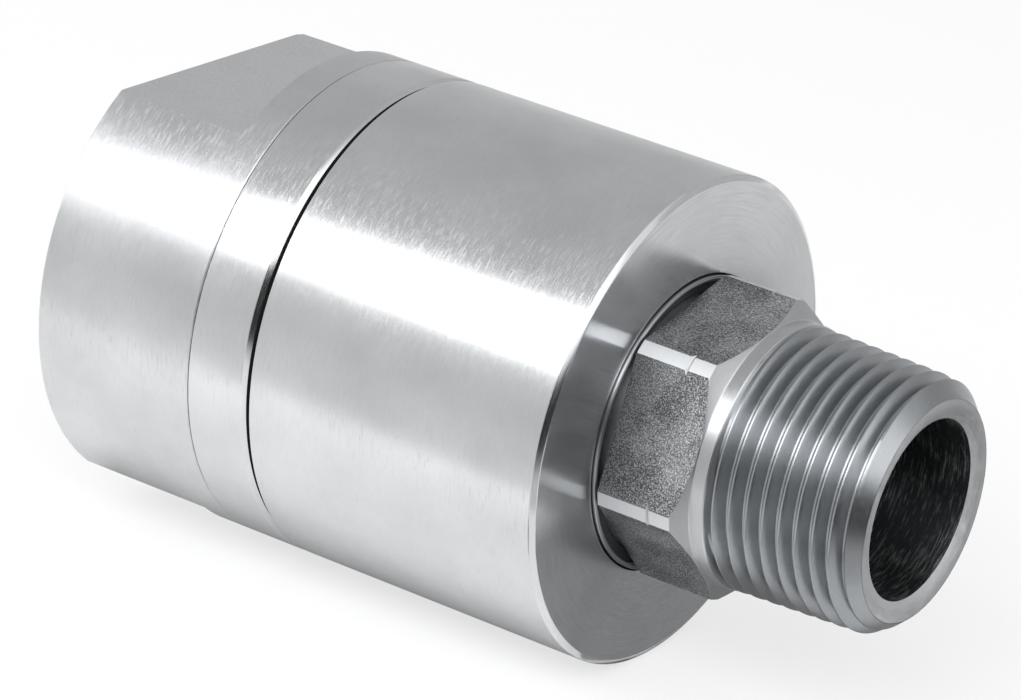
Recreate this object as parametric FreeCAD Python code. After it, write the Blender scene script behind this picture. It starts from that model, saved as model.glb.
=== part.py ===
"""In-line hydraulic rotary union with a male taper thread and a female port.

A stationary housing with its port cap carries a hollow rotor on two ball bearings.
The rotor's tail turns in a pressure seal inside the port cap, and its head ends in a
hexagon and a male taper pipe thread.

The axis is +X, from the port towards the rotor's thread, and +Z is square to a pair of
wrench flats. The origin is on the axis, where the port's thread starts behind its
countersink. All sizes are in millimetres and all angles in degrees.
"""

import FreeCAD, Part
import math
import os

ORIGIN = FreeCAD.Vector(0, 0, 0)
X_AXIS = FreeCAD.Vector(1, 0, 0)

# Stationary body
HOUSING_WALL = 3.0
SPIGOT_ENGAGEMENT = 7.4
BODY_GAP = 0.4
LOCK_RING_LENGTH = 7.3
EDGE_BREAK = 0.1
FRONT_BEVEL_LENGTH = 0.4
FRONT_BEVEL_DEPTH = 0.65
LOCK_RING_BEVEL = 0.7
REAR_BEVEL = 0.3

# Wrench flats on the port cap
FLATS_ACROSS = 40.0
FLATS_LENGTH = 15.6

# Port, for a parallel pipe thread of 26.4 mm outside diameter, at its crests
PORT_D = 24.1
PORT_DEPTH = 15.5
PORT_COUNTERSINK = 1.2

# Rotor inside the housing
FLOW_BORE_D = 18.8
BORE_BEVEL = 0.25
JOURNAL_D = 25.0
TAIL_STEP = 0.5
TAIL_BEVEL = 0.8
TAIL_END_GAP = 0.6
SHOULDER_HEIGHT = 1.1
COLLAR_STEP = 0.4

# Hexagon and neck
HEX_GAP = 0.7
HEX_FLAT_HEIGHT = 0.3
HEX_CORNER_HEIGHT = 1.67
HEX_CORNER_LENGTH = 8.25
HEX_CHAMFER_ANGLE = 33.0
HEX_TURN = 13.7
NOTCH_FROM_HEX = 5.7
NOTCH_WIDTH = 0.4
NOTCH_DEPTH = 0.2
NECK_BELOW_FLATS = 0.05
NECK_LENGTH = 1.5

# Taper thread at its crests, 1 in 16 on the diameter
THREAD_LENGTH = 16.3
THREAD_CREST_D = 26.7
THREAD_TAPER = 1 / 16
THREAD_END_BEVEL_LENGTH = 1.75
THREAD_END_BEVEL_DEPTH = 1.45

# Ball bearings, two alike
BEARING_WIDTH = 9.0
RACE_WALL = 2.4
RACE_SPACING = 3.7
RACE_CLEARANCE = 0.05
RACE_BEVEL = 0.3
BALL_D = 4.75
BALL_COUNT = 14
CAGE_WIDTH = 6.8
CAGE_WALL = 2.4
CAGE_POCKET_CLEARANCE = 0.12
BEARING_SPACING = 3.0
SPACER_WALL = 2.0

# Disc spring between the housing's web and the front bearing
SPRING_HEIGHT = 0.8
SPRING_THICKNESS = 0.4
SPRING_RIM = 3.0

# Housing web and dust shield
WEB_THICKNESS = 1.6
WEB_CLEARANCE = 0.35
SHIELD_WIDTH = 1.9
SHIELD_SEAT_DEPTH = 2.8
SHIELD_SEAT_BEVEL = 0.3
SHIELD_GAP = 0.1
SHIELD_WALL = 0.55
SHIELD_RIM_BEVEL = 0.2
SHIELD_RIM_HEIGHT = 0.1
SHIELD_FLOOR = 0.5
LIP_RECESS = 0.2
LIP_SLOPE = 0.15
LIP_THICKNESS = 1.4

# Port cap spigot and its O-ring
SPIGOT_STEP = 0.9
SPIGOT_CLEARANCE = 0.1
O_RING_SECTION = 1.78
O_RING_SIDE_ROOM = 0.26
O_RING_FROM_HOUSING = 0.8
O_RING_CLEARANCE = 0.02

# Pressure seal pack in the port cap
CHAMBER_WALL = 2.5
SEAL_SECTION = 4.4
SEAL_END_GAP = 1.6
SEAL_LENGTH = 5.0
SEAL_SLOT_DEPTH = 2.6
SEAL_LIP_WALL = 1.1
ENERGISER_CLEARANCE = 0.05
BACKUP_LENGTH = 1.4
BUSH_LENGTH = 3.0
RUNNING_CLEARANCE = 0.05
SEAT_CLEARANCE = 0.02

# Retaining rings, one in the port cap and one on the rotor
RETAINING_THICKNESS = 1.2
RETAINING_GROOVE_DEPTH = 0.55
RETAINING_BAND = 2.1
RETAINING_LUG_REACH = 1.5
RETAINING_LUG_ANGLE = 11.0
RETAINING_SLIT_ANGLE = 14.0
RETAINING_HOLE_D = 1.5
RETAINING_SIDE_CLEARANCE = 0.05
RETAINING_LAND = 1.15
RETAINING_SPACING = 1.6

# Room that a cutting block or ring has beyond the surface that it cuts
CUT_ROOM = 0.5

# Places along the axis, from the port towards the thread
REAR_FACE = -PORT_COUNTERSINK
CHAMBER_FLOOR = PORT_DEPTH + CHAMBER_WALL
ROTOR_TAIL = CHAMBER_FLOOR + TAIL_END_GAP
SEAL_START = CHAMBER_FLOOR + SEAL_END_GAP
BACKUP_START = SEAL_START + SEAL_LENGTH
BUSH_START = BACKUP_START + BACKUP_LENGTH
SEAL_RETAINER_START = BUSH_START + BUSH_LENGTH
ROTOR_RETAINER_START = SEAL_RETAINER_START + RETAINING_THICKNESS + RETAINING_SPACING
ROTOR_GROOVE_START = ROTOR_RETAINER_START - RETAINING_SIDE_CLEARANCE
TAIL_FRONT = ROTOR_GROOVE_START - RETAINING_LAND
REAR_BEARING_START = ROTOR_RETAINER_START + RETAINING_THICKNESS
REAR_BEARING_END = REAR_BEARING_START + BEARING_WIDTH
FRONT_BEARING_START = REAR_BEARING_END + BEARING_SPACING
FRONT_BEARING_END = FRONT_BEARING_START + BEARING_WIDTH
WEB_REAR = FRONT_BEARING_END + SPRING_HEIGHT
SHIELD_SEAT_FLOOR = WEB_REAR + WEB_THICKNESS
FRONT_FACE = SHIELD_SEAT_FLOOR + SHIELD_SEAT_DEPTH
HEX_REAR = FRONT_FACE + HEX_GAP
HOUSING_REAR = REAR_BEARING_START - SPIGOT_ENGAGEMENT
LOCK_RING_FRONT = HOUSING_REAR - BODY_GAP
CAP_FRONT = LOCK_RING_FRONT - LOCK_RING_LENGTH

# Radii
TAIL_R = JOURNAL_D / 2 - TAIL_STEP
SHOULDER_R = JOURNAL_D / 2 + SHOULDER_HEIGHT
COLLAR_R = SHOULDER_R - COLLAR_STEP
HEX_FLAT_R = COLLAR_R + HEX_FLAT_HEIGHT
HEX_CORNER_R = HEX_FLAT_R + HEX_CORNER_HEIGHT
NECK_R = HEX_FLAT_R - NECK_BELOW_FLATS
WEB_BORE_R = SHOULDER_R + WEB_CLEARANCE
SHIELD_SEAT_R = COLLAR_R + SHIELD_WIDTH
SHIELD_OUTER_R = SHIELD_SEAT_R - SHIELD_GAP
SHIELD_INNER_R = SHIELD_OUTER_R - SHIELD_WALL
INNER_RACE_R = JOURNAL_D / 2 + RACE_WALL
PITCH_R = INNER_RACE_R + RACE_SPACING / 2
OUTER_RACE_R = INNER_RACE_R + RACE_SPACING
BEARING_R = OUTER_RACE_R + RACE_WALL
SPIGOT_R = BEARING_R + SPIGOT_STEP
SPIGOT_BORE_R = SPIGOT_R + SPIGOT_CLEARANCE
BODY_R = SPIGOT_BORE_R + HOUSING_WALL
O_RING_GROOVE_R = SPIGOT_BORE_R - O_RING_SECTION - 2 * O_RING_CLEARANCE
CHAMBER_R = TAIL_R + SEAL_SECTION
PACK_INNER_R = TAIL_R + RUNNING_CLEARANCE
PACK_OUTER_R = CHAMBER_R - SEAT_CLEARANCE

# Places along the axis on the hexagon and the thread
HEX_CORNER_END = HEX_REAR + HEX_CORNER_LENGTH
NECK_START = HEX_CORNER_END + math.tan(math.radians(HEX_CHAMFER_ANGLE)) * (HEX_CORNER_R - NECK_R)
THREAD_START = NECK_START + NECK_LENGTH
ROTOR_END = THREAD_START + THREAD_LENGTH
THREAD_BEVEL_START = ROTOR_END - THREAD_END_BEVEL_LENGTH
THREAD_BEVEL_START_R = (THREAD_CREST_D - (THREAD_BEVEL_START - THREAD_START) * THREAD_TAPER) / 2


def turned(outline):
    """Revolve a closed outline of (x, radius) points about the X axis."""
    points = [FreeCAD.Vector(x, 0, radius) for x, radius in outline]
    face = Part.Face(Part.makePolygon(points + points[:1]))
    return face.revolve(ORIGIN, X_AXIS, 360)


def ring(start, end, inner_r, outer_r):
    """Make a plain ring between two places along the axis."""
    return turned([(start, inner_r), (end, inner_r), (end, outer_r), (start, outer_r)])


def torus(x, centre_r, section_d):
    """Make a torus around the axis."""
    return Part.makeTorus(centre_r, section_d / 2, FreeCAD.Vector(x, 0, 0), X_AXIS)


def turned_about_axis(shape, angle):
    """Return a copy of a shape turned about the X axis."""
    copy = shape.copy()
    copy.rotate(ORIGIN, X_AXIS, angle)
    return copy


def block_above(height, start, end):
    """Make a block wider than the body that holds everything above a height between two places."""
    reach = BODY_R + CUT_ROOM
    return Part.makeBox(end - start, 2 * reach, reach, FreeCAD.Vector(start, -reach, height))


def housing():
    """Make the main body: bearing seats, web, dust shield seat and the bore for the cap's spigot."""
    return turned([
        (HOUSING_REAR, SPIGOT_BORE_R),
        (HOUSING_REAR, BODY_R - EDGE_BREAK),
        (HOUSING_REAR + EDGE_BREAK, BODY_R),
        (FRONT_FACE - FRONT_BEVEL_LENGTH, BODY_R),
        (FRONT_FACE, BODY_R - FRONT_BEVEL_DEPTH),
        (FRONT_FACE, SHIELD_SEAT_R + SHIELD_SEAT_BEVEL),
        (FRONT_FACE - SHIELD_SEAT_BEVEL, SHIELD_SEAT_R),
        (SHIELD_SEAT_FLOOR, SHIELD_SEAT_R),
        (SHIELD_SEAT_FLOOR, WEB_BORE_R),
        (WEB_REAR, WEB_BORE_R),
        (WEB_REAR, BEARING_R),
        (REAR_BEARING_START, BEARING_R),
        (REAR_BEARING_START, SPIGOT_BORE_R),
    ])


def port_cap():
    """Make the cap with its wrench flats, port, flow passage, seal chamber and grooved spigot."""
    port_r = PORT_D / 2
    cap = turned([
        (REAR_FACE, port_r + PORT_COUNTERSINK),
        (REAR_FACE, BODY_R - REAR_BEVEL),
        (REAR_FACE + REAR_BEVEL, BODY_R),
        (CAP_FRONT - EDGE_BREAK, BODY_R),
        (CAP_FRONT, BODY_R - EDGE_BREAK),
        (CAP_FRONT, SPIGOT_R),
        (REAR_BEARING_START, SPIGOT_R),
        (REAR_BEARING_START, CHAMBER_R),
        (CHAMBER_FLOOR, CHAMBER_R),
        (CHAMBER_FLOOR, FLOW_BORE_D / 2),
        (PORT_DEPTH, FLOW_BORE_D / 2),
        (PORT_DEPTH, port_r),
        (0, port_r),
    ])
    flat = block_above(FLATS_ACROSS / 2, REAR_FACE - CUT_ROOM, REAR_FACE + FLATS_LENGTH)
    o_ring_start = HOUSING_REAR + O_RING_FROM_HOUSING
    o_ring_end = o_ring_start + O_RING_SECTION + 2 * O_RING_SIDE_ROOM
    o_ring_groove = ring(o_ring_start, o_ring_end, O_RING_GROOVE_R, SPIGOT_R + CUT_ROOM)
    retainer_groove = ring(
        SEAL_RETAINER_START,
        SEAL_RETAINER_START + RETAINING_THICKNESS + RETAINING_SIDE_CLEARANCE,
        CHAMBER_R - CUT_ROOM,
        CHAMBER_R + RETAINING_GROOVE_DEPTH,
    )
    return cap.cut([flat, turned_about_axis(flat, 180), o_ring_groove, retainer_groove])


def cap_o_ring():
    """Make the O-ring between the cap's spigot and the housing."""
    x = HOUSING_REAR + O_RING_FROM_HOUSING + O_RING_SIDE_ROOM + O_RING_SECTION / 2
    return torus(x, O_RING_GROOVE_R + O_RING_CLEARANCE + O_RING_SECTION / 2, O_RING_SECTION)


def lock_ring():
    """Make the ring round the spigot between the cap and the housing, bevelled at its front edge."""
    return turned([
        (CAP_FRONT, SPIGOT_BORE_R),
        (CAP_FRONT, BODY_R - EDGE_BREAK),
        (CAP_FRONT + EDGE_BREAK, BODY_R),
        (LOCK_RING_FRONT - LOCK_RING_BEVEL, BODY_R),
        (LOCK_RING_FRONT, BODY_R - LOCK_RING_BEVEL),
        (LOCK_RING_FRONT, SPIGOT_BORE_R),
    ])


def rotor():
    """Make the hollow shaft: tail, journal, shoulder, notched hexagon, neck and thread blank."""
    bore_r = FLOW_BORE_D / 2
    journal_r = JOURNAL_D / 2
    groove_r = journal_r - RETAINING_GROOVE_DEPTH
    notch = HEX_REAR + NOTCH_FROM_HEX
    blank = turned([
        (ROTOR_TAIL, bore_r),
        (ROTOR_TAIL, TAIL_R - TAIL_BEVEL),
        (ROTOR_TAIL + TAIL_BEVEL, TAIL_R),
        (TAIL_FRONT, TAIL_R),
        (TAIL_FRONT, journal_r),
        (ROTOR_GROOVE_START, journal_r),
        (ROTOR_GROOVE_START, groove_r),
        (REAR_BEARING_START, groove_r),
        (REAR_BEARING_START, journal_r),
        (FRONT_BEARING_END, journal_r),
        (FRONT_BEARING_END, SHOULDER_R),
        (SHIELD_SEAT_FLOOR, SHOULDER_R),
        (SHIELD_SEAT_FLOOR, COLLAR_R),
        (HEX_REAR, COLLAR_R),
        (HEX_REAR, HEX_CORNER_R),
        (notch - NOTCH_WIDTH / 2, HEX_CORNER_R),
        (notch, HEX_CORNER_R - NOTCH_DEPTH),
        (notch + NOTCH_WIDTH / 2, HEX_CORNER_R),
        (HEX_CORNER_END, HEX_CORNER_R),
        (NECK_START, NECK_R),
        (THREAD_START, NECK_R),
        (THREAD_START, THREAD_CREST_D / 2),
        (THREAD_BEVEL_START, THREAD_BEVEL_START_R),
        (ROTOR_END, THREAD_BEVEL_START_R - THREAD_END_BEVEL_DEPTH),
        (ROTOR_END, bore_r + BORE_BEVEL),
        (ROTOR_END - BORE_BEVEL, bore_r),
    ])
    flat = block_above(HEX_FLAT_R, HEX_REAR, THREAD_START)
    return blank.cut([turned_about_axis(flat, HEX_TURN + 60 * side) for side in range(6)])


def shield_case():
    """Make the dust shield's thin steel case, whose rim stands just proud of the housing."""
    rim = FRONT_FACE + SHIELD_RIM_HEIGHT
    floor_front = SHIELD_SEAT_FLOOR + SHIELD_FLOOR
    return turned([
        (SHIELD_SEAT_FLOOR, WEB_BORE_R),
        (SHIELD_SEAT_FLOOR, SHIELD_OUTER_R),
        (rim, SHIELD_OUTER_R),
        (rim, SHIELD_INNER_R + SHIELD_RIM_BEVEL),
        (rim - SHIELD_RIM_BEVEL, SHIELD_INNER_R),
        (floor_front, SHIELD_INNER_R),
        (floor_front, WEB_BORE_R),
    ])


def shield_lip():
    """Make the dark dished lip inside the dust shield, which runs on the rotor's collar."""
    inner_r = COLLAR_R + RUNNING_CLEARANCE
    face = FRONT_FACE - LIP_RECESS
    return turned([
        (face - LIP_THICKNESS, inner_r),
        (face - LIP_THICKNESS, SHIELD_INNER_R),
        (face, SHIELD_INNER_R),
        (face - LIP_SLOPE, inner_r),
    ])


def preload_spring():
    """Make the disc spring that loads the front bearing's outer race."""
    outer_r = BEARING_R - SEAT_CLEARANCE
    return turned([
        (FRONT_BEARING_END, outer_r),
        (FRONT_BEARING_END + SPRING_THICKNESS, outer_r),
        (WEB_REAR, outer_r - SPRING_RIM),
        (WEB_REAR - SPRING_THICKNESS, outer_r - SPRING_RIM),
    ])


def ball_groove(start):
    """Make the torus that a bearing's balls sweep, with their clearance."""
    return torus(start + BEARING_WIDTH / 2, PITCH_R, BALL_D + 2 * RACE_CLEARANCE)


def inner_race(start):
    """Make a bearing's inner race with its ball groove."""
    end = start + BEARING_WIDTH
    bore_r = JOURNAL_D / 2
    blank = turned([
        (start, bore_r + RACE_BEVEL),
        (start, INNER_RACE_R),
        (end, INNER_RACE_R),
        (end, bore_r + RACE_BEVEL),
        (end - RACE_BEVEL, bore_r),
        (start + RACE_BEVEL, bore_r),
    ])
    return blank.cut(ball_groove(start))


def outer_race(start):
    """Make a bearing's outer race with its ball groove."""
    end = start + BEARING_WIDTH
    blank = turned([
        (start, OUTER_RACE_R),
        (start, BEARING_R - RACE_BEVEL),
        (start + RACE_BEVEL, BEARING_R),
        (end - RACE_BEVEL, BEARING_R),
        (end, BEARING_R - RACE_BEVEL),
        (end, OUTER_RACE_R),
    ])
    return blank.cut(ball_groove(start))


def for_each_ball(shape):
    """Return a copy of a shape at each ball's place around the axis."""
    return [turned_about_axis(shape, 360 * ball / BALL_COUNT) for ball in range(BALL_COUNT)]


def balls(start):
    """Make a bearing's set of balls."""
    centre = FreeCAD.Vector(start + BEARING_WIDTH / 2, 0, PITCH_R)
    return Part.makeCompound(for_each_ball(Part.makeSphere(BALL_D / 2, centre)))


def cage(start):
    """Make a bearing's cage, a ring with one drilled pocket for each ball."""
    middle = start + BEARING_WIDTH / 2
    half_width = CAGE_WIDTH / 2
    half_wall = CAGE_WALL / 2
    band = ring(middle - half_width, middle + half_width, PITCH_R - half_wall, PITCH_R + half_wall)
    pocket_r = BALL_D / 2 + CAGE_POCKET_CLEARANCE
    pocket = Part.makeCylinder(pocket_r, PITCH_R + CAGE_WALL, FreeCAD.Vector(middle, 0, 0))
    return band.cut(for_each_ball(pocket))


def inner_spacer():
    """Make the spacer between the two inner races."""
    return ring(REAR_BEARING_END, FRONT_BEARING_START, JOURNAL_D / 2, JOURNAL_D / 2 + SPACER_WALL)


def outer_spacer():
    """Make the spacer between the two outer races."""
    return ring(REAR_BEARING_END, FRONT_BEARING_START, BEARING_R - SPACER_WALL, BEARING_R)


def wedge_up(half_angle, start, end):
    """Make a wedge from the axis upwards, open by an angle to each side and longer than the body."""
    height = BODY_R + CUT_ROOM
    half_width = height * math.tan(math.radians(half_angle))
    corners = [(0, 0), (half_width, height), (-half_width, height), (0, 0)]
    outline = Part.makePolygon([FreeCAD.Vector(start, y, z) for y, z in corners])
    return Part.Face(outline).extrude(FreeCAD.Vector(end - start, 0, 0))


def retaining_ring(start, seat_r, reach):
    """Make a slit retaining ring with two drilled lugs.

    The seat is the radius that lies in the groove. The reach is 1 for a ring on a shaft,
    whose band and lugs stand out from the seat, and -1 for a ring in a bore.
    """
    end = start + RETAINING_THICKNESS
    band_r = seat_r + reach * RETAINING_BAND
    lug_r = band_r + reach * RETAINING_LUG_REACH
    half_slit = RETAINING_SLIT_ANGLE / 2
    band = ring(start, end, min(seat_r, band_r), max(seat_r, band_r))
    lugs = ring(start, end, min(seat_r, lug_r), max(seat_r, lug_r))
    lugs = lugs.common(wedge_up(half_slit + RETAINING_LUG_ANGLE, start, end))
    hole_centre = FreeCAD.Vector(start, 0, (seat_r + lug_r) / 2)
    hole = Part.makeCylinder(RETAINING_HOLE_D / 2, RETAINING_THICKNESS, hole_centre, X_AXIS)
    hole_angle = half_slit + RETAINING_LUG_ANGLE / 2
    holes = [turned_about_axis(hole, angle) for angle in (-hole_angle, hole_angle)]
    return band.fuse(lugs).cut([wedge_up(half_slit, start, end)] + holes)


def rotor_retaining_ring():
    """Make the ring that holds the rear bearing's inner race on the rotor."""
    seat_r = JOURNAL_D / 2 - RETAINING_GROOVE_DEPTH + SEAT_CLEARANCE
    return retaining_ring(ROTOR_RETAINER_START, seat_r, 1)


def seal_retaining_ring():
    """Make the ring that holds the seal pack in the port cap."""
    seat_r = CHAMBER_R + RETAINING_GROOVE_DEPTH - SEAT_CLEARANCE
    return retaining_ring(SEAL_RETAINER_START, seat_r, -1)


def pressure_seal():
    """Make the lip seal, slotted on its pressure side, that seals the rotor's tail."""
    body = ring(SEAL_START, BACKUP_START, PACK_INNER_R, PACK_OUTER_R)
    slot_end = SEAL_START + SEAL_SLOT_DEPTH
    return body.cut(ring(SEAL_START, slot_end, PACK_INNER_R + SEAL_LIP_WALL, PACK_OUTER_R - SEAL_LIP_WALL))


def seal_energiser():
    """Make the O-ring that spreads the pressure seal's lips."""
    slot_width = PACK_OUTER_R - PACK_INNER_R - 2 * SEAL_LIP_WALL
    section_d = slot_width - 2 * ENERGISER_CLEARANCE
    x = SEAL_START + SEAL_SLOT_DEPTH - ENERGISER_CLEARANCE - section_d / 2
    return torus(x, (PACK_INNER_R + PACK_OUTER_R) / 2, section_d)


def backup_ring():
    """Make the hard ring that keeps the pressure seal from extruding."""
    return ring(BACKUP_START, BUSH_START, PACK_INNER_R, PACK_OUTER_R)


def guide_bush():
    """Make the bush that steadies the rotor's tail in the seal."""
    return ring(BUSH_START, SEAL_RETAINER_START, PACK_INNER_R, PACK_OUTER_R)


def pieces():
    """Give every piece of the union by its node's name."""
    named = {
        "housing": housing(),
        "port_cap": port_cap(),
        "lock_ring": lock_ring(),
        "cap_o_ring": cap_o_ring(),
        "rotor": rotor(),
        "dust_shield_case": shield_case(),
        "dust_shield_lip": shield_lip(),
        "preload_spring": preload_spring(),
        "inner_spacer": inner_spacer(),
        "outer_spacer": outer_spacer(),
        "rotor_retaining_ring": rotor_retaining_ring(),
        "pressure_seal": pressure_seal(),
        "seal_energiser": seal_energiser(),
        "seal_backup_ring": backup_ring(),
        "tail_guide_bush": guide_bush(),
        "seal_retaining_ring": seal_retaining_ring(),
    }
    for side, start in (("front", FRONT_BEARING_START), ("rear", REAR_BEARING_START)):
        named[side + "_bearing_inner_race"] = inner_race(start)
        named[side + "_bearing_outer_race"] = outer_race(start)
        named[side + "_bearing_cage"] = cage(start)
        named[side + "_bearing_balls"] = balls(start)
    return named


def main():
    """Write one STEP file for each piece and print its solids, volume and extent along the axis."""
    os.makedirs("parts", exist_ok=True)
    for name, shape in pieces().items():
        shape.exportStep(os.path.join("parts", name + ".step"))
        box = shape.BoundBox
        state = "valid" if shape.isValid() else "NOT VALID"
        print(f"{name:28s} {len(shape.Solids):3d} solids {shape.Volume:10.1f} mm3 "
              f"x {box.XMin:6.2f} to {box.XMax:6.2f} {state}")


main()
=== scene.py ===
"""Looks of an in-line hydraulic rotary union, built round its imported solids.

The flow axis is +X, from the female port towards the rotor's taper thread, and +Z is square
to a wrench flat. Sizes are in millimetres and angles in degrees. Angles about the axis are
counted from +Y towards +Z. MM turns a size into Blender's metres.
"""

import logging
import math
from dataclasses import dataclass, field
from enum import Enum, IntEnum
from typing import Any, ClassVar, Sequence

import bmesh
import bpy
import numpy as np
from mathutils import Matrix, Vector


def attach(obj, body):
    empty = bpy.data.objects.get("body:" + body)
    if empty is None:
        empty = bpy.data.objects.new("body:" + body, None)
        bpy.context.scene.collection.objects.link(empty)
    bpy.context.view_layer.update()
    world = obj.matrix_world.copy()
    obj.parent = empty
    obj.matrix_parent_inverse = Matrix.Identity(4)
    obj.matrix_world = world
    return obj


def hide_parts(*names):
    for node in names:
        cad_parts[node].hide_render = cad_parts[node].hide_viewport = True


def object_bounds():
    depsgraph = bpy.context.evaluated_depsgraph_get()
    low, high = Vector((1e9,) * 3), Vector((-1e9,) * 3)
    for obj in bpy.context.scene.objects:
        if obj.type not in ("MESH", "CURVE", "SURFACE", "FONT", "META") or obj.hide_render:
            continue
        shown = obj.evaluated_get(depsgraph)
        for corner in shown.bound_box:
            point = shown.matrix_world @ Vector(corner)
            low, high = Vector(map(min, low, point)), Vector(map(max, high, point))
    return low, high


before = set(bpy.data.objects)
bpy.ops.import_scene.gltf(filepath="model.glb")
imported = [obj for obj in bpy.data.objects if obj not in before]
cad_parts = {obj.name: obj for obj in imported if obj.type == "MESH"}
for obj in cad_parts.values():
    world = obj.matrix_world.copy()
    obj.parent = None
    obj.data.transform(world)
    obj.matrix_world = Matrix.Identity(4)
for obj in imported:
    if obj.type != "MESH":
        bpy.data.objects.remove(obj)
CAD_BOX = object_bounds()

LOG = logging.getLogger("rotary_union")
MM = 0.001
MERGE_DISTANCE = 0.0001
SHARP_ANGLE = 24.0
COLUMNS = 360
# How far off a face a point may lie and still count as on it
NEAR = 0.01
# Keeps a division or a comparison away from nought
TINY = 1e-6
WHITE = (1.0, 1.0, 1.0, 1.0)
UP = (0.0, 0.0, 1.0)
DOWN = (0.0, 0.0, -1.0)

Point = tuple[float, float]
Place = tuple[float, float, float]
Colour = tuple[float, float, float, float]
Source = bpy.types.Node | bpy.types.NodeSocket


class Body(str, Enum):
    """The bodies that pieces ride on."""

    STATOR = "stator"
    ROTOR = "rotor"


def linear(colour: str) -> Colour:
    """Turn an sRGB hex colour into linear light.

    Args:
        colour: Six hex digits after a number sign.

    Returns:
        Red, green, blue and an alpha of 1.
    """
    parts = [int(colour[i:i + 2], 16) / 255 for i in (1, 3, 5)]
    red, green, blue = (c / 12.92 if c <= 0.04045 else ((c + 0.055) / 1.055) ** 2.4 for c in parts)
    return red, green, blue, 1.0


def cleared_tree(owner: bpy.types.Material | bpy.types.World) -> bpy.types.NodeTree:
    """Turn on the nodes of a material or a world and return its tree, emptied."""
    owner.use_nodes = True
    owner.node_tree.nodes.clear()
    return owner.node_tree


def feed(node: bpy.types.Node, links: dict[str | int, Source]) -> None:
    """Link sockets, or the first outputs of other nodes, to a node's inputs by name or number."""
    for key, source in links.items():
        socket = source.outputs[0] if isinstance(source, bpy.types.Node) else source
        node.id_data.links.new(socket, node.inputs[key])


def add_node(tree: bpy.types.NodeTree, kind: str, settings: dict[str | int, Any] | None = None,
             links: dict[str | int, Source] | None = None) -> bpy.types.Node:
    """Add a node with its settings and links.

    Args:
        tree: The node tree that gets the node.
        kind: The node's type, without ShaderNode in front.
        settings: Values by the name of a property, or by the name or number of an input.
        links: What feeds the inputs, by their names or numbers.

    Returns:
        The new node.
    """
    node = tree.nodes.new("ShaderNode" + kind)
    for key, value in (settings or {}).items():
        if isinstance(key, str) and key in node.bl_rna.properties:
            setattr(node, key, value)
        else:
            node.inputs[key].default_value = value
    feed(node, links or {})
    return node


def span(side: str, ends: Point) -> dict[str, float]:
    """Name the two ends of a range as the Map Range node's inputs do."""
    return {f"{side} Min": ends[0], f"{side} Max": ends[1]}


def link_object(name: str, data: bpy.types.ID) -> bpy.types.Object:
    """Make an object and link it to the scene."""
    made = bpy.data.objects.new(name, data)
    bpy.context.scene.collection.objects.link(made)
    return made


@dataclass(frozen=True)
class Finish:
    """A surface finish that makes its own material."""

    name: str
    colour: str

    def shade(self, tree: bpy.types.NodeTree, shader: bpy.types.Node) -> None:
        """Add the finish's nodes round the surface shader."""
        raise NotImplementedError

    def coat(self, shader: bpy.types.Node, tones: tuple[Colour, Colour], share: Source,
             gloss: dict[str, float], wear: Source, depth: float, height: Source) -> None:
        """Give the surface shader its tone, its roughness and its bump.

        Args:
            shader: The surface shader.
            tones: The colours where the share is 0 and where it is 1.
            share: The share of the second colour.
            gloss: The range that turns the wear into roughness, by the inputs' names.
            wear: The pattern that changes the roughness.
            depth: How deep the height's pattern is, in millimetres.
            height: The pattern that raises the surface.
        """
        tree = shader.id_data
        tone = add_node(tree, "Mix", {"data_type": "RGBA", 6: tones[0], 7: tones[1]}, {0: share})
        rough = add_node(tree, "MapRange", gloss, {"Value": wear})
        bump = add_node(tree, "Bump", {"Strength": 1.0, "Distance": depth * MM}, {"Height": height})
        feed(shader, {"Base Color": tone.outputs[2], "Roughness": rough, "Normal": bump})

    def material(self) -> bpy.types.Material:
        """Return the finish's material, made once."""
        found = bpy.data.materials.get(self.name)
        if found is not None:
            return found
        made = bpy.data.materials.new(self.name)
        tree = cleared_tree(made)
        shader = add_node(tree, "BsdfPrincipled")
        add_node(tree, "OutputMaterial", links={"Surface": shader})
        self.shade(tree, shader)
        return made


def object_millimetres(tree: bpy.types.NodeTree) -> bpy.types.Node:
    """Return a node that gives the place on the object in millimetres."""
    place = add_node(tree, "TexCoord")
    return add_node(tree, "VectorMath", {"operation": "SCALE", "Scale": 1 / MM}, {0: place.outputs["Object"]})


def turning_coordinates(tree: bpy.types.NodeTree, arc: float) -> bpy.types.Node:
    """Return coordinates whose first part runs along a turned outline, across the tool's lines.

    Args:
        tree: The node tree.
        arc: How far the other two parts reach round one turn, in the pattern's millimetres.

    Returns:
        The node that gives them.
    """
    parts = add_node(tree, "SeparateXYZ", links={0: object_millimetres(tree)})
    across = add_node(tree, "CombineXYZ", links={"Y": parts.outputs["Y"], "Z": parts.outputs["Z"]})
    reach = add_node(tree, "VectorMath", {"operation": "LENGTH"}, {0: across})
    along = add_node(tree, "Math", {"operation": "SUBTRACT"},
                     {0: parts.outputs["X"], 1: reach.outputs["Value"]})
    way = add_node(tree, "VectorMath", {"operation": "NORMALIZE"}, {0: across})
    spread = add_node(tree, "VectorMath", {"operation": "SCALE", "Scale": arc}, {0: way})
    ends = add_node(tree, "SeparateXYZ", links={0: spread})
    return add_node(tree, "CombineXYZ", links={"X": along, "Y": ends.outputs["Y"], "Z": ends.outputs["Z"]})


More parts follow.
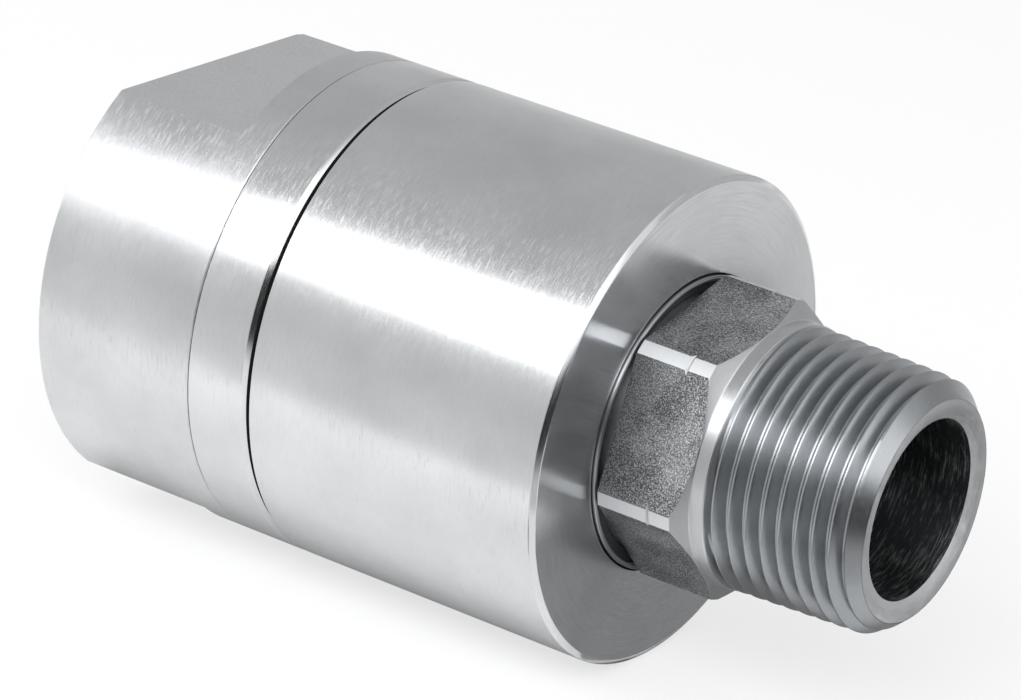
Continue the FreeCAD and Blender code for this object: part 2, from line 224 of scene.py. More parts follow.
@dataclass(frozen=True)
class TurnedMetal(Finish):
    """Metal cut on a lathe, whose fine tool lines run round the axis and stretch its highlights."""

    roughness: float = 0.3
    stretch: float = 0.8
    line_pitch: float = 0.16
    line_depth: float = 0.0012
    stain: float = 0.12
    # The colour of the lowest lines, where it isn't the metal's own, stained
    streaks: str | None = None
    streak_share: Point = (0.12, 0.36)
    # How much rougher the raised lines are, as a share
    unevenness: float = 0.35
    # How far the pattern changes round one turn: small for long lines, large for short hairs
    arc: float = 1.7
    cloud_size: ClassVar[float] = 9.0
    raised_lines: ClassVar[Point] = (0.5, 0.68)
    quarter_turn: ClassVar[float] = 0.25

    def shade(self, tree: bpy.types.NodeTree, shader: bpy.types.Node) -> None:
        """Add tool lines, a soft change of tone and faint scratches."""
        lines = add_node(tree, "TexNoise", {"Scale": 1 / self.line_pitch, "Detail": 3.0, "Roughness": 0.7},
                         {"Vector": turning_coordinates(tree, self.arc)})
        clouds = add_node(tree, "TexNoise", {"Scale": 1 / self.cloud_size, "Detail": 4.0},
                          {"Vector": object_millimetres(tree)})
        both = add_node(tree, "Math", {"operation": "MULTIPLY"}, {0: clouds, 1: lines})
        share = add_node(tree, "MapRange", span("From", self.streak_share), {"Value": both})
        plain = linear(self.colour)
        stained = (*(channel * (1 - self.stain) for channel in plain[:3]), 1.0)
        low = linear(self.streaks) if self.streaks else stained
        rougher = self.roughness * (1 + self.unevenness)
        gloss = span("From", self.raised_lines) | span("To", (self.roughness, rougher))
        self.coat(shader, (low, plain), share, gloss, lines, self.line_depth, lines)
        round_axis = add_node(tree, "Tangent", {"direction_type": "RADIAL", "axis": "X"})
        shader.inputs["Metallic"].default_value = 1.0
        shader.inputs["Anisotropic"].default_value = self.stretch
        shader.inputs["Anisotropic Rotation"].default_value = self.quarter_turn
        feed(shader, {"Tangent": round_axis})


@dataclass(frozen=True)
class GrainedMetal(Finish):
    """Metal with a grain that has no direction, such as a blasted or cast face, or a drawn one."""

    dark: str
    roughness: float = 0.45
    grain: float = 0.25
    depth: float = 0.01
    # How high a grain stands before it turns light, from 0 to 1
    light_from: float = 0.4
    # How much finer the grains are along X, Y and Z
    draw: Place = (1.0, 1.0, 1.0)
    cloud_size: ClassVar[float] = 4.0
    spot_edge: ClassVar[float] = 0.2
    tone_range: ClassVar[Point] = (0.45, 1.5)
    gloss_range: ClassVar[Point] = (1.25, 0.8)

    def shade(self, tree: bpy.types.NodeTree, shader: bpy.types.Node) -> None:
        """Add grains that change the height, the tone and the gloss."""
        place = add_node(tree, "VectorMath", {"operation": "MULTIPLY", 1: self.draw},
                         {0: object_millimetres(tree)})
        grains = add_node(tree, "TexNoise", {"Scale": 1 / self.grain, "Detail": 3.0, "Roughness": 0.65},
                          {"Vector": place})
        clouds = add_node(tree, "TexNoise", {"Scale": 1 / self.cloud_size, "Detail": 3.0},
                          {"Vector": object_millimetres(tree)})
        edge = (self.light_from, self.light_from + self.spot_edge)
        spots = add_node(tree, "MapRange", span("From", edge), {"Value": grains})
        both = add_node(tree, "Math", {"operation": "ADD"}, {0: spots, 1: clouds})
        share = add_node(tree, "MapRange", span("From", self.tone_range), {"Value": both})
        gloss = span("To", tuple(self.roughness * end for end in self.gloss_range))
        self.coat(shader, (linear(self.dark), linear(self.colour)), share, gloss, spots, self.depth, grains)
        shader.inputs["Metallic"].default_value = 1.0


@dataclass(frozen=True)
class Moulded(Finish):
    """Moulded or turned rubber or plastic, with the mould's fine skin and a little dust."""

    light: str
    roughness: float = 0.5
    index: float = 1.5
    grain: float = 0.2
    depth: float = 0.006
    round_lines: float = 0.0
    dust_size: ClassVar[float] = 2.5
    dust_range: ClassVar[Point] = (0.45, 0.85)
    gloss_range: ClassVar[Point] = (0.85, 1.2)
    line_pitch: ClassVar[float] = 0.2
    line_arc: ClassVar[float] = 2.0

    def shade(self, tree: bpy.types.NodeTree, shader: bpy.types.Node) -> None:
        """Add the skin's grain, dust in patches, and lines round the axis where the part is turned."""
        skin = add_node(tree, "TexNoise", {"Scale": 1 / self.grain, "Detail": 4.0, "Roughness": 0.6},
                        {"Vector": object_millimetres(tree)})
        dust = add_node(tree, "TexNoise", {"Scale": 1 / self.dust_size, "Detail": 5.0, "Roughness": 0.7},
                        {"Vector": object_millimetres(tree)})
        lines = add_node(tree, "TexNoise", {"Scale": 1 / self.line_pitch, "Detail": 2.0},
                         {"Vector": turning_coordinates(tree, self.line_arc)})
        height = add_node(tree, "Math", {"operation": "MULTIPLY_ADD", 1: self.round_lines},
                          {0: lines, 2: skin})
        share = add_node(tree, "MapRange", span("From", self.dust_range), {"Value": dust})
        gloss = span("To", tuple(min(1.0, self.roughness * end) for end in self.gloss_range))
        self.coat(shader, (linear(self.colour), linear(self.light)), share, gloss, dust, self.depth, height)
        shader.inputs["IOR"].default_value = self.index


class Finishes:
    """Every finish of the union, by the part that wears it."""

    # A finishing tool leaves lines 0.05 to 0.1 mm apart and blasting grains of about 0.1 mm. Both are
    # finer than the render shows, so the pitches and grains below are up to three times as coarse.

    # Stainless steel bar, turned: neutral grey, its highlights drawn out across the tool lines
    BODY = TurnedMetal("turned_stainless_body", "#DBDDDF", roughness=0.29, stretch=0.85, line_pitch=0.14,
                       stain=0.15, unevenness=0.8, arc=2.6)
    # Its edges, broken with a sharp tool: brighter and clearer than the faces they join
    EDGE = TurnedMetal("cut_stainless_edge", "#D7D9DB", roughness=0.17, stretch=0.4, line_pitch=0.14)
    # The port cap's own bar, turned a little coarser
    CAP = TurnedMetal("turned_stainless_cap", "#DBDDDF", roughness=0.37, stain=0.17, unevenness=0.8, arc=2.6)
    # The same bar faced on its end: grooves round the axis fan the reflections out towards the rim
    FACE = TurnedMetal("faced_stainless", "#D0D2D4", roughness=0.2, stretch=0.95, line_pitch=0.12,
                       line_depth=0.0003, stain=0.16, unevenness=0.1, arc=0.7)
    # Wrench flats, ground with a belt: short lines along the flat
    FLAT = GrainedMetal("ground_stainless_flat", "#D7D9DB", "#CBCDCF", roughness=0.38, depth=0.0005,
                        draw=(2.4, 0.4, 1.0))
    # Hexagon flats as drawn and blasted: dark and matt, with small facets that catch the light
    HEXAGON = GrainedMetal("blasted_stainless_hexagon", "#E2E4E6", "#606265", roughness=0.3, grain=0.15,
                           depth=0.03, light_from=0.46)
    # Hexagon corners, turned before the flats were cut and worn satin by wrenches
    CORNER = TurnedMetal("turned_stainless_corner", "#E0E2E4", roughness=0.5, stretch=0.2, line_pitch=0.14)
    # Chamfer across the hexagon's front, turned with a worn tool: rougher than the neck beside it, with its
    # colour darkened as painted shade
    CHAMFER = TurnedMetal("turned_stainless_chamfer", "#B6B8BA", roughness=0.5, stretch=0.3, line_pitch=0.14)
    # Turned rotor head, finer than the body
    ROTOR = TurnedMetal("turned_stainless_rotor", "#C4C6C8", roughness=0.33, stretch=0.6, line_pitch=0.14)
    # Cut thread, its colour greyer than the turned faces as painted shade of its grooves
    THREAD = TurnedMetal("cut_stainless_thread", "#A3A6A9", stretch=0.3, line_pitch=0.1, stain=0.22)
    # End of the thread, faced and left satin
    END = TurnedMetal("faced_stainless_end", "#D2D4D6", roughness=0.56, stretch=0.3, line_pitch=0.2,
                      stain=0.2)
    # Walls of the narrow gaps and recesses, painted near black as painted shade
    GAP_SHADE = Moulded("painted_gap_shade", "#050505", "#0C0C0C", roughness=0.9, index=1.35, grain=0.3)
    # Drilled bore, its colour painted dark as painted shade of the deep hole, with the drill's thin scores
    # painted near white as painted glints
    BORE = TurnedMetal("drilled_stainless_bore", "#5E6164", roughness=0.38, stretch=0.3, line_pitch=0.15,
                       line_depth=0.012, streaks="#FAFBFC", streak_share=(0.15, 0.25), unevenness=0.2,
                       arc=0.7)
    # Thin pressed rim of the dust shield, nearly bright
    SHIELD = TurnedMetal("pressed_steel_shield", "#A6A8AB", roughness=0.32, stretch=0.5, line_pitch=0.12,
                         line_depth=0.0002, unevenness=0.1, arc=0.25)
    # Nitrile rubber lip, satin black with grey dust
    LIP = Moulded("nitrile_rubber_lip", "#262628", "#3C3C3E", roughness=0.45, index=1.52, grain=0.15)
    # Nitrile O-rings, oiled
    O_RING = Moulded("nitrile_rubber_o_ring", "#151516", "#232325", roughness=0.3, index=1.52)
    # Bearing steel, ground
    RACE = TurnedMetal("ground_bearing_steel", "#BDBDBC", roughness=0.18, stretch=0.4, line_pitch=0.1,
                       line_depth=0.0004)
    # Bearing balls, lapped to a mirror with a faint film of grease
    BALL = GrainedMetal("lapped_bearing_steel", "#D8D8D8", "#C4C4C3", roughness=0.08, grain=1.2, depth=0.0004)
    # Cage of natural polyamide, ivory and satin
    CAGE = Moulded("moulded_polyamide_cage", "#CFC3A2", "#D8CFB4", roughness=0.42, index=1.53)
    # Spacers, turned and left satin
    SPACER = TurnedMetal("turned_steel_spacer", "#B5B4B1", roughness=0.32, stretch=0.6)
    # Spring steel with a blued, oiled skin
    SPRING = GrainedMetal("blued_spring_steel", "#5B5D63", "#36383E", roughness=0.34, grain=0.6, depth=0.003)
    # Glass-filled fluoropolymer seal, turned: soft green-grey
    SEAL = Moulded("filled_fluoropolymer_seal", "#6F7D74", "#7E8C82", index=1.38, round_lines=1.0)
    # White turned acetal backup ring
    BACKUP = Moulded("turned_acetal_backup", "#DEDBD2", "#E7E4DC", roughness=0.45, index=1.48,
                     round_lines=1.0)
    # Cast bronze guide bush, turned
    BUSH = TurnedMetal("turned_bronze_bush", "#B98F56", stretch=0.6, stain=0.15)


def rounded(outline: Sequence[Point], radius: float, steps: int = 3, closed: bool = True) -> list[Point]:
    """Round the corners of an outline.

    Args:
        outline: Corner points in order.
        radius: How far from the corner each rounding starts, at most.
        steps: How many edges each rounding has.
        closed: Whether the last point joins the first. The ends of an open outline stay sharp.

    Returns:
        The outline's points with the roundings in place of the corners.
    """
    points: list[Point] = []
    count = len(outline)
    for i, corner in enumerate(outline):
        if not closed and i in (0, count - 1):
            points.append(corner)
            continue
        here = Vector(corner)
        before, after = Vector(outline[i - 1]) - here, Vector(outline[(i + 1) % count]) - here
        cut = min(radius, 0.4 * before.length, 0.4 * after.length)
        start, end = here + before.normalized() * cut, here + after.normalized() * cut
        for step in range(steps + 1):
            t = step / steps
            point = start * (1 - t) ** 2 + here * 2 * t * (1 - t) + end * t ** 2
            points.append((point.x, point.y))
    return points


class AxisGrid:
    """Rows of points round the flow axis, whose place and radius may change with the angle."""

    def __init__(self, corner_angles: Sequence[float] = ()) -> None:
        """Set the angles of the columns.

        Args:
            corner_angles: Angles that must have a column because the surface has a corner there.
        """
        even = np.linspace(0.0, 360.0, COLUMNS + 1)
        extra = np.array(corner_angles, float) % 360.0
        self.angles = np.unique(np.round(np.concatenate([even, extra]), 6))
        self.places: list[np.ndarray] = []
        self.radii: list[np.ndarray] = []
        self.zones: list[np.ndarray] = []

    @property
    def middles(self) -> np.ndarray:
        """The angle in the middle of each column's faces, to ask which surface they lie on."""
        return np.append((self.angles[:-1] + self.angles[1:]) / 2, 0.0)

    def row(self, place: float | np.ndarray, radius: float | np.ndarray, zone: int | np.ndarray) -> None:
        """Add a row of points.

        Args:
            place: Where the row lies along the axis, one value or one for each column.
            radius: Its distance from the axis, one value or one for each column.
            zone: The material's number for the band that follows this row.
        """
        whole = np.ones_like(self.angles)
        self.places.append(place * whole)
        self.radii.append(radius * whole)
        self.zones.append((zone * whole).astype(int))

    def outline(self, points: Sequence[Point], zone: int) -> None:
        """Add a row for each point of a turned outline."""
        for place, radius in points:
            self.row(place, radius, zone)

    def build(self, name: str, finishes: Sequence[Finish]) -> bpy.types.Object:
        """Make the closed mesh and its object.

        Args:
            name: The object's name.
            finishes: The finish of each zone, in order.

        Returns:
            The new object, linked to the scene.
        """
        place, radius = np.stack(self.places, 1) * MM, np.stack(self.radii, 1) * MM
        turn = np.radians(self.angles)[:, None]
        vertices = np.stack([place, radius * np.cos(turn), radius * np.sin(turn)], 2).reshape(-1, 3)
        columns, rows = place.shape
        corner = np.arange(columns * rows).reshape(columns, rows)
        following = np.roll(corner, -1, 1)
        faces = np.stack([corner[:-1], corner[1:], following[1:], following[:-1]], 2).reshape(-1, 4)
        zones = np.stack(self.zones, 1)[:-1].reshape(-1)

        mesh = bpy.data.meshes.new(name)
        mesh.from_pydata(vertices.tolist(), [], faces.tolist())
        mesh.polygons.foreach_set("material_index", zones.astype(np.int32))
        work = bmesh.new()
        work.from_mesh(mesh)
        bmesh.ops.remove_doubles(work, verts=work.verts, dist=MERGE_DISTANCE * MM)
        bmesh.ops.recalc_face_normals(work, faces=work.faces)
        work.to_mesh(mesh)
        work.free()
        for finish in finishes:
            mesh.materials.append(finish.material())
        mesh.shade_smooth()
        mesh.set_sharp_from_angle(angle=math.radians(SHARP_ANGLE))
        return link_object(name, mesh)


@dataclass(frozen=True)
class PipeThread:
    """A pipe thread of 14 turns to the inch, right-hand, with vee grooves."""

    pitch: float = 25.4 / 14
    depth: float = 1.16
    crest_share: float = 0.04
    round_share: float = 0.02
    root_share: float = 0.05
    crest_place: float = 0.0
    crest_angle: float = 0.0
    steps: ClassVar[tuple[float, ...]] = (-0.45, -0.3, -0.19, -0.06, -0.05, -0.04, 0.0,
                                          0.04, 0.05, 0.06, 0.19, 0.3, 0.45, 0.5)

    def rows(self, angles: np.ndarray, start: float, end: float) -> list[np.ndarray]:
        """Give places along the helix between two places on the axis.

        Args:
            angles: The columns' angles.
            start: The lower place.
            end: The upper place.

        Returns:
            One array of places for each row, in rising order, held within start and end.
        """
        helix = self.crest_place + self.pitch * (angles - self.crest_angle) / 360
        first = math.floor((start - helix.max()) / self.pitch) - 1
        last = math.ceil((end - helix.min()) / self.pitch) + 1
        return [np.clip(helix + (turn + step) * self.pitch, start, end)
                for turn in range(first, last + 1) for step in self.steps]

    def cut(self, places: np.ndarray, angles: np.ndarray) -> np.ndarray:
        """Give the groove's depth below the crests.

        Args:
            places: Places along the axis.
            angles: Angles about the axis.

        Returns:
            Depths from 0 at a crest to the thread's depth at a root.
        """
        turns = (places - self.crest_place) / self.pitch - (angles - self.crest_angle) / 360
        away = np.abs(turns - np.round(turns)) - self.crest_share
        flank = 0.5 - self.crest_share - self.root_share
        fall = np.where(away < self.round_share, np.maximum(away, 0) ** 2 / (2 * self.round_share),
                        away - self.round_share / 2)
        return self.depth * np.clip(fall / (flank - self.round_share / 2), 0, 1)


def eased(value: np.ndarray, start: float, end: float) -> np.ndarray:
    """Rise smoothly from 0 at start to 1 at end."""
    share = np.clip((value - start) / (end - start), 0, 1)
    return share * share * (3 - 2 * share)


@dataclass
class Sizes:
    """Sizes that several sub-assemblies share."""

    body_r: float = 25.0
    spigot_bore_r: float = 22.0
    bearing_r: float = 21.0
    flow_r: float = 9.4
    rear_face: float = -1.2
    cap_front: float = 17.9
    lock_ring_front: float = 25.2
    housing_rear: float = 25.6
    bearing_start: float = 33.0
    web_rear: float = 54.8
    shield_floor: float = 56.4
    front_face: float = 59.2
    web_bore_r: float = 13.95
    edge_break: float = 0.1


@dataclass
class PortCap:
    """The port cap: wrench flats, a threaded port with its countersink, and the spigot."""

    sizes: Sizes
    flat_height: float = 20.0
    step: float = 14.4
    step_fillet: float = 0.25
    fillet_turns: tuple[int, ...] = (30, 60, 90)
    # The rear edge's rounded bevel: places from the rear face, and depths below the body
    rear_bevel: tuple[Point, ...] = ((0.0, 0.4), (0.02, 0.3), (0.24, 0.04), (0.38, 0.0))
    rear_land: float = 0.15
    port_r: float = 12.05
    port_depth: float = 15.5
    countersink: float = 1.2
    # Where the thread's groove starts and ends to fade, back from the port's floor
    thread_fade: Point = (1.6, 0.4)
    chamber_floor: float = 18.0
    chamber_r: float = 16.4
    spigot_r: float = 21.9
    front_bevel: float = 0.12
    groove_start: float = 26.4
    groove_end: float = 28.7
    groove_r: float = 20.18
    retainer_start: float = 29.0
    retainer_end: float = 30.25
    retainer_r: float = 16.95

    class Zone(IntEnum):
        """The cap's finishes, in the order of its materials."""

        TURNED = 0
        FLAT = 1
        THREAD = 2
        REAR = 3
        GAP_SHADE = 4

    def flat_radius(self, angles: np.ndarray) -> np.ndarray:
        """Give the distance from the axis to the wrench flats' planes at each angle."""
        return self.flat_height / np.maximum(np.abs(np.sin(np.radians(angles))), TINY)

    def add_port(self, grid: AxisGrid) -> None:
        """Add the port's floor, its thread and its countersink.

        Args:
            grid: The cap's grid.
        """
        s = self.sizes
        grid.outline([(self.chamber_floor, s.flow_r), (self.port_depth, s.flow_r),
                      (self.port_depth, self.port_r)], self.Zone.THREAD)
        thread = PipeThread(crest_place=self.port_depth / 2)
        fade_start, fade_end = (self.port_depth - back for back in self.thread_fade)
        for places in reversed(thread.rows(grid.angles, s.rear_face, self.port_depth)):
            left = 1 - eased(places, fade_start, fade_end)
            grooved = self.port_r + (thread.depth - thread.cut(places, grid.angles)) * left
            cone = self.port_r + self.countersink - (places - s.rear_face)
            grid.row(places, np.maximum(grooved, cone), self.Zone.THREAD)

    def add_outside(self, grid: AxisGrid) -> None:
        """Add the rear face and the outside, with the wrench flats and the step that ends them.

        Args:
            grid: The cap's grid.
        """
        s = self.sizes
        flat = self.flat_radius(grid.angles)
        outside = np.where(self.flat_radius(grid.middles) < s.body_r, self.Zone.FLAT, self.Zone.TURNED)
        mouth_r = self.port_r + self.countersink
        rows = [(0.0, mouth_r), (0.0, mouth_r + self.rear_land)]
        rows += [(place, s.body_r - depth) for place, depth in self.rear_bevel]
        for place, radius in rows:
            zone = self.Zone.REAR if place == 0.0 else outside
            grid.row(s.rear_face + place, np.minimum(radius, flat), zone)
        side = np.minimum(s.body_r, flat)
        grid.row(self.step - self.step_fillet, side, outside)
        for turn in self.fillet_turns:
            sweep = math.radians(turn)
            rise = np.minimum(self.step_fillet * (1 - math.cos(sweep)), s.body_r - side)
            grid.row(self.step - self.step_fillet * (1 - math.sin(sweep)), side + rise, self.Zone.TURNED)

    def build(self) -> bpy.types.Object:
        """Make the cap's mesh.

        Returns:
            The cap, in place of its solid.
        """
        s = self.sizes
        half = math.degrees(math.acos(self.flat_height / s.body_r))
        grid = AxisGrid([90 - half, 90 + half, 270 - half, 270 + half])
        self.add_port(grid)
        self.add_outside(grid)
        front = rounded([
            (self.step, s.body_r),
            (s.cap_front - self.front_bevel, s.body_r),
            (s.cap_front, s.body_r - self.front_bevel),
            (s.cap_front, self.spigot_r),
            (self.groove_start, self.spigot_r),
            (self.groove_start, self.groove_r),
            (self.groove_end, self.groove_r),
            (self.groove_end, self.spigot_r),
            (s.bearing_start, self.spigot_r),
            (s.bearing_start, self.chamber_r),
            (self.retainer_end, self.chamber_r),
            (self.retainer_end, self.retainer_r),
            (self.retainer_start, self.retainer_r),
            (self.retainer_start, self.chamber_r),
            (self.chamber_floor, self.chamber_r),
        ], s.edge_break, closed=False)
        for place, radius in front:
            # The cap's front face inside the gap to the lock ring gets painted shade
            in_gap = place > s.cap_front - NEAR and radius > self.groove_r
            grid.row(place, radius, self.Zone.GAP_SHADE if in_gap else self.Zone.TURNED)
        cap = grid.build("port_cap_turned", [
            Finishes.CAP, Finishes.FLAT, Finishes.THREAD, Finishes.FACE, Finishes.GAP_SHADE])
        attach(cap, Body.STATOR.value)
        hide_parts("port_cap")
        return cap


@dataclass
class LockRing:
    """The narrow ring between the port cap and the housing, bevelled at its front edge."""

    sizes: Sizes
    bevel: float = 0.7
    # How much of the front bevel stays bright; the rest, towards the gap, is painted black as painted shade
    clean_bevel: float = 0.4
    rear_bevel: float = 0.2

    class Zone(IntEnum):
        """The ring's finishes, in the order of its materials."""

        TURNED = 0
        GAP_SHADE = 1
        EDGE = 2

    def build(self) -> bpy.types.Object:
        """Make the ring's mesh.

        Returns:
            The ring, in place of its solid.
        """
        s = self.sizes
        grid = AxisGrid()
        edge_start = s.lock_ring_front - self.bevel
        # From here to the front face the bevel and the face are painted shade of the gap
        gap_shade_start = edge_start + self.clean_bevel
        for place, radius in rounded([
            (s.cap_front, s.spigot_bore_r),
            (s.cap_front, s.body_r - self.rear_bevel),
            (s.cap_front + self.rear_bevel, s.body_r),
            (edge_start, s.body_r),
            (gap_shade_start, s.body_r - self.clean_bevel),
            (s.lock_ring_front, s.body_r - self.bevel),
            (s.lock_ring_front, s.spigot_bore_r),
        ], s.edge_break):
            outside = self.Zone.EDGE if place > edge_start - NEAR else self.Zone.TURNED
            grid.row(place, radius, self.Zone.GAP_SHADE if place >= gap_shade_start else outside)
        made = grid.build("lock_ring_turned", [Finishes.BODY, Finishes.GAP_SHADE, Finishes.EDGE])
        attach(made, Body.STATOR.value)
        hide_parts("lock_ring")
        return made


@dataclass
class Housing:
    """The main body: a turned sleeve with a faced front, a web and the dust shield's seat."""

    sizes: Sizes
    bevel_length: float = 0.4
    bevel_depth: float = 0.65
    shield_seat_r: float = 15.1
    seat_bevel: float = 0.12

    class Zone(IntEnum):
        """The housing's finishes, in the order of its materials."""

        TURNED = 0
        FACED = 1
        GAP_SHADE = 2
        EDGE = 3

    def build(self) -> bpy.types.Object:
        """Make the housing's mesh.

        Returns:
            The housing, in place of its solid.
        """
        s = self.sizes
        edge_start = s.front_face - self.bevel_length
        face_inner_r, face_outer_r = self.shield_seat_r + self.seat_bevel, s.body_r - self.bevel_depth
        outline = rounded([
            (s.bearing_start, s.spigot_bore_r),
            (s.housing_rear, s.spigot_bore_r),
            (s.housing_rear, s.body_r),
            (edge_start, s.body_r),
            (s.front_face, face_outer_r),
            (s.front_face, face_inner_r),
            (s.front_face - self.seat_bevel, self.shield_seat_r),
            (s.shield_floor, self.shield_seat_r),
            (s.shield_floor, s.web_bore_r),
            (s.web_rear, s.web_bore_r),
            (s.web_rear, s.bearing_r),
            (s.bearing_start, s.bearing_r),
        ], s.edge_break)
        grid = AxisGrid()
        for place, radius in outline:
            zone = self.Zone.TURNED
            if place > s.front_face - NEAR and face_inner_r < radius <= face_outer_r:
                zone = self.Zone.FACED
            # The rear face in the gap to the lock ring and the dust shield's seat get painted shade
            elif place < s.housing_rear + NEAR or (place > s.shield_floor and radius <= face_inner_r):
                zone = self.Zone.GAP_SHADE
            elif place > edge_start - NEAR and radius > face_outer_r:
                zone = self.Zone.EDGE
            grid.row(place, radius, zone)
        made = grid.build("housing_turned", [Finishes.BODY, Finishes.FACE, Finishes.GAP_SHADE, Finishes.EDGE])
        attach(made, Body.STATOR.value)
        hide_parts("housing")
        return made


@dataclass
class DustShield:
    """The dust shield: a thin pressed steel case with a dished rubber lip on the rotor's collar."""

    sizes: Sizes
    outer_r: float = 15.0
    wall: float = 0.55
    rim_height: float = 0.3
    rim_bevel: float = 0.12
    bead: float = 0.17
    bead_depth: float = 0.07
    case_break: float = 0.04
    floor: float = 0.5
    lip_inner_r: float = 13.25
    lip_recess: float = 0.2
    lip_slope: float = 0.15
    lip_thickness: float = 1.4

    def build(self) -> list[bpy.types.Object]:
        """Make the case and the lip.

        Returns:
            Both pieces, in place of their solids.
        """
        s = self.sizes
        inner_r, rim = self.outer_r - self.wall, s.front_face + self.rim_height
        case_grid = AxisGrid()
        case_grid.outline(rounded([
            (s.shield_floor, s.web_bore_r),
            (s.shield_floor, self.outer_r),
            (rim - self.bead_depth, self.outer_r),
            (rim, self.outer_r - self.bead / 2),
            (rim - self.bead_depth, self.outer_r - self.bead),
            (rim, self.outer_r - self.bead * 3 / 2),
            (rim, inner_r + self.rim_bevel),
            (rim - self.rim_bevel, inner_r),
            (s.shield_floor + self.floor, inner_r),
            (s.shield_floor + self.floor, s.web_bore_r),
        ], self.case_break), 0)
        case = case_grid.build("dust_shield_rim", [Finishes.SHIELD])
        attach(case, Body.STATOR.value)
        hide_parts("dust_shield_case")

        face = s.front_face - self.lip_recess
        lip_grid = AxisGrid()
        lip_grid.outline(rounded([
            (face - self.lip_thickness, self.lip_inner_r),
            (face - self.lip_thickness, inner_r),
            (face, inner_r),
            (face - self.lip_slope, self.lip_inner_r),
        ], s.edge_break), 0)
        lip = lip_grid.build("dust_shield_rubber", [Finishes.LIP])
        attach(lip, Body.STATOR.value)
        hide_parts("dust_shield_lip")
        return [case, lip]


@dataclass
class Rotor:
    """The hollow rotor: tail, journal, collar, notched hexagon, neck, taper thread and end face."""

    sizes: Sizes
    tail: float = 18.6
    tail_r: float = 12.0
    tail_bevel: float = 0.8
    tail_front: float = 30.6
    journal_r: float = 12.5
    groove_start: float = 31.75
    groove_r: float = 11.95
    shoulder_start: float = 54.0
    shoulder_r: float = 13.6
    collar_r: float = 13.2
    hex_rear: float = 59.9
    hex_rear_break: float = 0.06
    hex_flat_r: float = 13.5
    hex_corner_r: float = 15.17
    hex_corner_end: float = 68.15
    hex_chamfer_angle: float = 33.0
    hex_turn: float = 13.7
    notch: float = 65.6
    notch_half_width: float = 0.2
    notch_depth: float = 0.2
    notch_least: float = 0.01
    # How far an edge's rounding reaches before it and behind it
    crease_break: Point = (0.03, 0.02)
    crease_drop: float = 0.016
    neck_break: Point = (0.06, 0.05)
    neck_r: float = 13.45
    neck_length: float = 1.5
    neck_land: float = 0.12
    thread_crest_r: float = 13.35
    thread_length: float = 16.3
    thread_taper: float = 1 / 32
    thread_phase_place: float = 78.8
    thread_phase_angle: float = 155.0
    thread_start_fade: float = 0.45
    bevel_length: float = 1.75
    bevel_depth: float = 1.68
    end_break: float = 0.08
    dish_r: float = 10.8
    dish_depth: float = 0.5
    dish_steps: int = 5
    throat_r: float = 9.12
    throat_length: float = 1.2

    class Zone(IntEnum):
        """The rotor's finishes, in the order of its materials."""

        TURNED = 0
        HEXAGON = 1
        THREAD = 2
        END = 3
        BORE = 4
        CORNER = 5
        CHAMFER = 6

    @property
    def chamfer_slope(self) -> float:
        """How far the hexagon's chamfer runs along the axis for each millimetre that it falls."""
        return math.tan(math.radians(self.hex_chamfer_angle))

    @property
    def neck_start(self) -> float:
        """Where the hexagon's chamfer meets the neck."""
        return self.hex_corner_end + self.chamfer_slope * (self.hex_corner_r - self.neck_r)

    @property
    def thread_start(self) -> float:
        """Where the neck ends and the thread starts."""
        return self.neck_start + self.neck_length

    @property
    def end(self) -> float:
        """Where the rotor's end face lies."""
        return self.thread_start + self.thread_length

    @property
    def bevel_start_r(self) -> float:
        """The thread's crest radius where the end's bevel starts."""
        return self.thread_crest_r - (self.thread_length - self.bevel_length) * self.thread_taper

    def hexagon_radius(self, angles: np.ndarray) -> np.ndarray:
        """Give the hexagon's distance from the axis at each angle, with its turned corners."""
        off = (angles - 90 - self.hex_turn + 30) % 60 - 30
        return np.minimum(self.hex_corner_r, self.hex_flat_r / np.cos(np.radians(off)))

    def add_hexagon(self, grid: AxisGrid) -> None:
        """Add the hexagon's rows, with the notch across its corners and the chamfer at its front.

        Args:
            grid: The rotor's grid.
        """
        side = self.hexagon_radius(grid.angles)
        flat = self.hexagon_radius(grid.middles) < self.hex_corner_r - TINY
        zone = np.where(flat, self.Zone.HEXAGON, self.Zone.CORNER)
        below = self.hex_corner_r - side
        half = self.notch_half_width * np.clip(1 - below / self.notch_depth, self.notch_least, 1)
        crease = self.hex_corner_end + self.chamfer_slope * below
        rows = [
            (self.hex_rear, side - self.hex_rear_break, self.Zone.TURNED),
            (self.hex_rear + self.hex_rear_break, side, zone),
            (self.notch - half, side, self.Zone.TURNED),
            (self.notch, np.minimum(side, self.hex_corner_r - self.notch_depth), self.Zone.TURNED),
            (self.notch + half, side, zone),
            (crease - self.crease_break[0], side, self.Zone.TURNED),
            (crease + self.crease_break[1], side - self.crease_drop / self.chamfer_slope, self.Zone.CHAMFER),
            (self.neck_start - self.neck_break[0], self.neck_r + self.neck_break[0] / self.chamfer_slope,
             self.Zone.TURNED),
            (self.neck_start + self.neck_break[1], self.neck_r, self.Zone.TURNED),
            (self.thread_start - self.neck_land, self.neck_r, self.Zone.TURNED),
        ]
        for row in rows:
            grid.row(*row)

    def add_thread(self, grid: AxisGrid) -> None:
        """Add the taper thread's rows, from the neck to the bevelled end.

        Args:
            grid: The rotor's grid.
        """
        thread = PipeThread(crest_place=self.thread_phase_place, crest_angle=self.thread_phase_angle)
        bevel_start = self.end - self.bevel_length
        for places in thread.rows(grid.angles, self.thread_start, self.end):
            crest = self.thread_crest_r - (places - self.thread_start) * self.thread_taper
            run_in = eased(places, self.thread_start, self.thread_start + self.thread_start_fade)
            grooved = crest - thread.cut(places, grid.angles) * run_in
            cone = self.bevel_start_r - (places - bevel_start) * self.bevel_depth / self.bevel_length
            grid.row(places, np.minimum(grooved, cone), self.Zone.THREAD)

